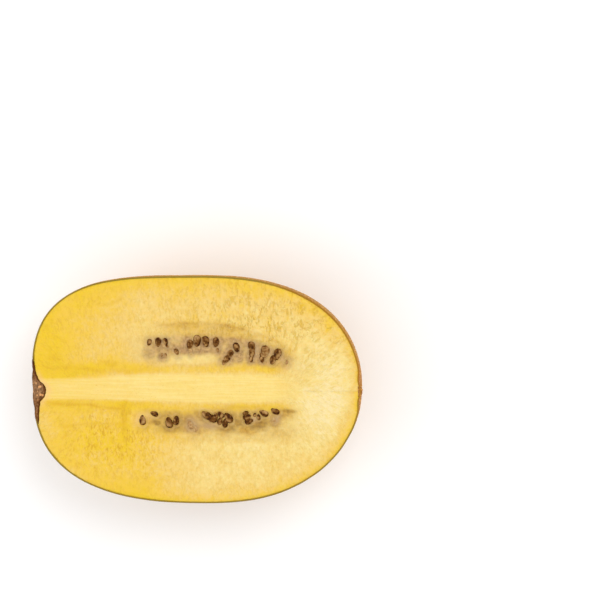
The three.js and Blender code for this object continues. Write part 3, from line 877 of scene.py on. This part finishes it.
class Surface:
    """A node material with short calls for its nodes. Sizes are in mm."""

    def __init__(self, name, **constants):
        self.material = bpy.data.materials.new(name)
        self.material.use_nodes = True
        self.tree = self.material.node_tree
        self.shader = self.tree.nodes["Principled BSDF"]
        self.base = None
        for socket, value in constants.items():
            self.shader.inputs[socket.replace("_", " ")].default_value = value
        place = self.add("ShaderNodeTexCoord").outputs["Object"]
        in_mm = [(0, place), ("Scale", 1 / MM)]
        self.place = self.add("ShaderNodeVectorMath", in_mm, operation="SCALE").outputs[0]

    def add(self, kind, sockets=(), **settings):
        """A new node. Its sockets, given as (name, value), are linked or set to plain values."""
        node = self.tree.nodes.new(kind)
        for key, value in settings.items():
            setattr(node, key, value)
        for key, value in sockets:
            self.feed(node.inputs[key], value)
        return node

    def feed(self, target, value):
        """Link a socket, or set a plain value on it."""
        if isinstance(value, bpy.types.NodeSocket):
            self.tree.links.new(value, target)
        else:
            target.default_value = value

    def zone(self, name, share=None):
        """A zone that the mesh carries at its points, or a share of it."""
        value = self.add("ShaderNodeAttribute", attribute_name=name).outputs["Fac"]
        return value if share is None else self.times(value, share)

    def math(self, operation, a, b):
        return self.add("ShaderNodeMath", [(0, a), (1, b)], operation=operation).outputs[0]

    def plus(self, a, b):
        return self.math("ADD", a, b)

    def times(self, a, b):
        return self.math("MULTIPLY", a, b)

    def blend(self, a, b, share):
        """Two noises added, the first with the given share."""
        return self.plus(self.times(a, share), self.times(b, round(1 - share, 3)))

    def noise(self, size, detail=2, rough=0.5, stretch=(1, 1, 1), offset=0, twist=0, place=None):
        """Noise from 0 to 1 with features of about size, longer where stretch is over 1."""
        mapped = self.add("ShaderNodeMapping", [
            ("Vector", place or self.place), ("Scale", [1 / (size * k) for k in stretch]),
            ("Location", (offset, offset, offset)),
        ])
        return self.add("ShaderNodeTexNoise", [
            ("Vector", mapped.outputs[0]), ("Scale", 1), ("Detail", detail), ("Roughness", rough),
            ("Distortion", twist),
        ]).outputs["Fac"]

    def cells(self, size):
        """Distance to the nearest of scattered points, 0 at the point."""
        sockets = [("Vector", self.place), ("Scale", 1 / size)]
        return self.add("ShaderNodeTexVoronoi", sockets, feature="F1").outputs["Distance"]

    def height(self):
        """The place along Z."""
        return self.add("ShaderNodeSeparateXYZ", [(0, self.place)]).outputs["Z"]

    def distance_from(self, point):
        sockets = [(0, self.place), (1, point)]
        return self.add("ShaderNodeVectorMath", sockets, operation="DISTANCE").outputs["Value"]

    def spread(self, value, low, high, out_low=0.0, out_high=1.0):
        """A smooth change from out_low to out_high while the value goes from low to high."""
        return self.add("ShaderNodeMapRange", [
            ("Value", value), ("From Min", low), ("From Max", high), ("To Min", out_low),
            ("To Max", out_high),
        ], interpolation_type="SMOOTHSTEP").outputs["Result"]

    def mix(self, share, a, b, blend="MIX"):
        """a with b over it. Each is a socket or a colour from 0 to 255."""
        a, b = (linear(side) if isinstance(side, tuple) else side for side in (a, b))
        sockets = [("Factor", share), (6, a), (7, b)]
        return self.add("ShaderNodeMix", sockets, data_type="RGBA", blend_type=blend).outputs[2]

    def paint(self, share, colour, blend="MIX"):
        """Lay a colour over the surface's colour so far."""
        self.base = self.mix(share, self.base, colour, blend)

    def palette(self, value, stops):
        """Colours along a value: stops are (position, colour from 0 to 255)."""
        node = self.add("ShaderNodeValToRGB")
        band = node.color_ramp
        while len(band.elements) < len(stops):
            band.elements.new(0.5)
        for element, (position, colour) in zip(band.elements, stops):
            element.position = position
            element.color = linear(colour)
        self.feed(node.inputs["Fac"], value)
        return node.outputs["Color"]

    def finish(self, bumps):
        """The material, with its colour and its bumps: (height from 0 to 1, depth in mm)."""
        self.feed(self.shader.inputs["Base Color"], self.base)
        sockets = []
        for height, depth in bumps:
            sockets += [("Height", height), ("Distance", depth * MM), ("Strength", 1.0)]
            sockets = [("Normal", self.add("ShaderNodeBump", sockets).outputs["Normal"])]
        for _, normal in sockets:
            self.feed(self.shader.inputs["Normal"], normal)
        return self.material


def yellow_of_flesh(m, fine, grain):
    """The yellow of the flesh, by its creaminess, which holds painted shade in the furrows, and a mottle
    along the fibres.
    """
    middle = m.noise(0.95, rough=0.55, offset=5)
    broad = m.noise(3.2, offset=7)
    mottle = m.noise(0.95, 3, 0.6, stretch=(1, 1.4, 1), offset=61, twist=0.8, place=grain)
    cream = m.plus(m.zone("cream"), m.spread(broad, 0.25, 0.75, -0.06, 0.06))
    cream = m.plus(cream, m.spread(middle, 0.3, 0.7, -0.06, 0.06))
    cream = m.plus(cream, m.spread(fine, 0.3, 0.7, -0.03, 0.03))
    cream = m.plus(cream, m.times(m.spread(mottle, 0.36, 0.64, -0.22, 0.16), m.zone("streaks")))
    return m.palette(cream, [
        (0.0, (226, 188, 22)), (0.32, (228, 189, 62)), (0.6, (228, 194, 106)),
        (0.8, (231, 206, 130)), (1.0, (234, 214, 158)),
    ])


def flesh_strokes(m, grain):
    """Short dark strokes along the fibres: crooked where the flesh is crinkled, and straighter
    where it is streaked."""
    gate = m.spread(m.noise(1.9, 1, offset=33), 0.34, 0.54, 0.25, 1.0)
    crooked = m.noise(0.55, 2, 0.6, stretch=(1, 2.4, 1), offset=21, twist=0.9, place=grain)
    crooked = m.times(m.times(m.spread(crooked, 0.46, 0.62), gate), m.zone("wormy"))
    straight = m.noise(0.5, 2, 0.6, stretch=(1, 2.6, 1), offset=41, twist=0.9, place=grain)
    straight = m.times(m.times(m.spread(straight, 0.5, 0.64), gate), m.zone("streaks"))
    return crooked, straight


def paint_tissue(m):
    """The seed tissue over the flesh: tan, wet gel, lilac spots, pale rims round the seeds."""
    warm = m.zone("warm")
    share = m.spread(m.noise(0.8, 3, 0.6, offset=9), 0.3, 0.7)
    mauve = m.mix(share, (160, 120, 66), (202, 162, 106))
    golden = m.mix(share, (170, 122, 24), (200, 154, 52))
    m.paint(m.zone("tan"), m.mix(warm, mauve, golden))
    brown = m.mix(share, (116, 78, 46), (164, 124, 80))
    olive = m.mix(share, (126, 89, 14), (164, 122, 34))
    m.paint(m.zone("gel", 0.78), m.mix(warm, brown, olive))
    m.paint(m.zone("lilac", 0.85), (180, 146, 100))
    m.paint(m.zone("rim", 0.4), (226, 190, 130))


def flesh_material():
    m = Surface("kiwi_flesh", Roughness=0.38, IOR=1.38, Subsurface_Weight=0.25, Subsurface_Scale=0.0007,
                Coat_Weight=0.15, Coat_Roughness=0.25)
    m.shader.inputs["Subsurface Radius"].default_value = (1.0, 0.7, 0.25)
    grain = m.add("ShaderNodeAttribute", attribute_name="grain").outputs["Vector"]
    fine = m.noise(0.42, 2, 0.6)
    fibres = m.noise(0.34, 3, 0.6, stretch=(26, 1, 6), offset=3)
    crooked, straight = flesh_strokes(m, grain)

    m.base = yellow_of_flesh(m, fine, grain)
    m.paint(m.zone("core", 0.6), m.mix(m.spread(fibres, 0.35, 0.65), (231, 201, 100), (236, 211, 128)))
    m.paint(m.zone("gold", 0.75), (212, 164, 10))
    m.paint(m.times(crooked, 0.8), (232, 220, 150), "MULTIPLY")
    m.paint(straight, (238, 222, 120), "MULTIPLY")
    paint_tissue(m)
    m.paint(m.zone("peach", 0.7), (232, 188, 118))
    specks = m.spread(m.noise(0.3, offset=14), 0.64, 0.76)
    m.paint(m.times(specks, 0.5), (228, 212, 120), "MULTIPLY")

    strokes = m.plus(m.times(crooked, 0.8), m.times(straight, 0.25))
    cut = m.math("SUBTRACT", fine, strokes)
    return m.finish([(cut, 0.1), (m.noise(0.18, offset=2), 0.03), (fibres, 0.03)])


def seed_material():
    m = Surface("kiwi_seed", Roughness=0.36, IOR=1.35, Specular_IOR_Level=0.1, Coat_Weight=0.03,
                Coat_Roughness=0.2, Subsurface_Weight=0.1, Subsurface_Scale=0.0004)
    spots = m.spread(m.noise(0.7, 2, 0.6), 0.35, 0.65, -0.15, 0.28)
    # pale holds how far a seed has faded under the flesh and the painted highlight on one side of it.
    m.base = m.palette(m.plus(m.zone("pale"), spots), [
        (0.0, (62, 28, 1)), (0.25, (106, 66, 20)), (0.55, (154, 114, 64)), (1.0, (192, 156, 104)),
    ])
    return m.finish([(m.noise(0.16, 2, 0.6, offset=3), 0.02)])


def skin_material():
    m = Surface("kiwi_skin", Roughness=0.5, IOR=1.35, Specular_IOR_Level=0.12, Subsurface_Weight=0.06,
                Subsurface_Scale=0.0005)
    middle = m.noise(4.0, 3, 0.6, offset=4)
    fine = m.noise(0.32, 3, 0.6, offset=8)
    m.base = m.palette(m.blend(m.noise(14.0), middle, 0.6), [
        (0.3, (160, 106, 26)), (0.43, (188, 132, 34)), (0.55, (210, 154, 44)), (0.7, (196, 146, 46)),
    ])
    near_tip = m.spread(m.distance_from((TIP_X, 0, CUT_Z)), 1.5, 9.0, 0.8, 0.0)
    m.paint(m.times(near_tip, m.spread(middle, 0.3, 0.6, 0.5, 1.0)), (206, 114, 42))
    m.paint(m.spread(fine, 0.4, 0.7, 0.0, 0.45), (146, 90, 24))
    pores = m.spread(m.cells(0.75), 0.05, 0.16, 1.0, 0.0)
    m.paint(m.times(pores, 0.4), (112, 66, 18))
    from_stem = m.distance_from((STEM_X, 0, CUT_Z))
    m.paint(m.spread(from_stem, BUTTON_RADIUS + 0.6, BUTTON_RADIUS + 4, 0.5, 0.0), (112, 70, 24))
    height = m.height()
    # Painted shade: the skin is darkened towards the cut edge, the top of the fruit as it lies.
    m.paint(m.spread(height, CUT_Z - 9, CUT_Z - 1, 0.0, 0.65), (158, 106, 20))
    # The cut edge of the skin is olive, least so by the blossom end of the upper side.
    cut_edge = m.spread(height, CUT_Z - 0.35, CUT_Z - 0.05)
    olive_share = m.spread(m.distance_from((44, 22, CUT_Z)), 20, 34, 0.15, 0.8)
    m.paint(m.times(cut_edge, olive_share), (134, 120, 50))
    return m.finish([(m.noise(0.55, 3, 0.55), 0.07), (fine, 0.04)])


def dot_material():
    m = Surface("kiwi_skin_dots", Roughness=0.55, IOR=1.4)
    m.base = m.mix(m.spread(m.noise(1.4), 0.35, 0.65), (216, 160, 76), (246, 196, 120))
    return m.finish([(m.noise(0.12), 0.02)])


def woody_material():
    m = Surface("kiwi_stem_wood", Roughness=0.78, IOR=1.45, Specular_IOR_Level=0.12)
    grain = m.noise(0.5, 3, 0.65)
    rings = m.noise(0.35, 2, 0.6, stretch=(1, 3, 3), offset=6)
    margin = m.zone("margin")
    m.base = m.palette(m.blend(grain, rings, 0.6), [
        (0.3, (56, 28, 6)), (0.43, (92, 56, 24)), (0.55, (128, 86, 50)), (0.7, (176, 130, 88)),
    ])
    chips = m.spread(m.cells(0.75), 0.3, 0.42, 1.0, 0.0)
    plug = m.spread(m.distance_from((PLUG["x"], PLUG["y"], CUT_Z)), 1.2, 2.6, 1.0, 0.1)
    m.paint(m.times(m.times(chips, plug), m.spread(margin, 0.15, 0.35)), (222, 158, 98))
    m.paint(m.spread(margin, 0.12, 0.6, 0.95, 0.0), (82, 40, 1))
    stub = m.spread(m.distance_from((STEM_X, 0, CUT_Z)), 1.6, 2.8, 0.5, 0.0)
    m.paint(m.times(stub, grain), (196, 156, 116))
    m.paint(m.zone("hollow", 0.75), (54, 26, 10))
    return m.finish([(grain, 0.16), (rings, 0.08), (m.cells(0.3), 0.05)])


def blossom_material():
    m = Surface("kiwi_blossom_end", Roughness=0.7, IOR=1.4, Specular_IOR_Level=0.3)
    grain = m.noise(0.35, 3, 0.6)
    m.base = m.palette(grain, [(0.35, (116, 70, 26)), (0.5, (168, 112, 50)), (0.65, (206, 150, 78))])
    return m.finish([(grain, 0.1)])


def floor_material():
    m = Surface("floor_plain", Roughness=0.9)
    m.base = m.mix(m.noise(40.0), (250, 250, 250), (247, 247, 247))
    return m.finish([])


# ---- Stage, light, camera ----

TOWARD_TIP, TOWARD_UPPER = math.radians(10), math.radians(9)
CAMERA_DISTANCE = 550.0
FRAME_WIDTH = 126.2
PHOTO_CENTRE_FROM_AXIS = (23.05, 19.52)
SENSOR = 36.0
NEAR_CLIP, FAR_CLIP = 0.01, 20
WORLD_LIGHT, LIGHT_SIZE = 0.95, 0.5
FLOOR_SIZE = 6


def make_camera():
    data = bpy.data.cameras.new("camera")
    camera = add_object("camera", data)
    target = Vector((*PHOTO_CENTRE_FROM_AXIS, CUT_Z))
    back = Vector((math.tan(TOWARD_TIP), math.tan(TOWARD_UPPER), 1.0)).normalized()
    up = back.cross(Vector((1, 0, 0))).normalized()
    right = up.cross(back)
    place = (target + back * CAMERA_DISTANCE) * MM
    turned = Matrix((right, up, back)).transposed()
    camera.matrix_world = Matrix.Translation(place) @ turned.to_4x4()
    data.sensor_width = SENSOR
    data.lens = SENSOR * CAMERA_DISTANCE / FRAME_WIDTH
    data.clip_start = NEAR_CLIP
    data.clip_end = FAR_CLIP
    bpy.context.scene.camera = camera


def area_light(name, place, power):
    """A round lamp that shines on the middle of the fruit."""
    data = bpy.data.lights.new(name, "AREA")
    data.shape = "DISK"
    data.size = LIGHT_SIZE
    data.energy = power
    light = add_object(name, data)
    light.location = place
    beam = Vector((0, 0, CUT_Z * MM / 2)) - Vector(place)
    light.rotation_euler = beam.to_track_quat("-Z", "Y").to_euler()


def make_light():
    world = bpy.data.worlds.new("world")
    world.use_nodes = True
    background = world.node_tree.nodes["Background"]
    background.inputs["Color"].default_value = (1, 1, 1, 1)
    background.inputs["Strength"].default_value = WORLD_LIGHT
    bpy.context.scene.world = world
    area_light("key", (0.38, 0.42, 0.72), 2.5)
    area_light("fill", (-0.6, -0.12, 0.5), 0.8)


def make_floor():
    bpy.ops.mesh.primitive_plane_add(size=FLOOR_SIZE, location=(0, 0, 0))
    floor = bpy.context.object
    floor.name = "floor"
    floor.data.materials.append(floor_material())


def dress(piece, material, slot, *nodes):
    """Put a piece on the model with its material, in place of the named nodes; slot is not used."""
    piece.data.materials.append(material)
    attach(piece, "root")
    if nodes:
        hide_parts(*nodes)


scene = bpy.context.scene
scene.view_settings.view_transform = "Standard"
scene.view_settings.look = "None"

make_camera()
make_light()
make_floor()
dress(make_cut_flesh(), flesh_material(), "flesh", "flesh", "core")
seeds = seed_material()
dress(make_seeds("seeds_upper", SEEDS["upper"], 1), seeds, "seeds", "seed_row_upper")
dress(make_seeds("seeds_lower", SEEDS["lower"], -1), seeds, "seeds", "seed_row_lower")
dress(make_skin(), skin_material(), "skin", "skin")
dress(make_skin_dots(), dot_material(), "skin")
dress(make_button(), woody_material(), "stem", "stem_button")
dress(make_blossom_tip(), blossom_material(), "stem")
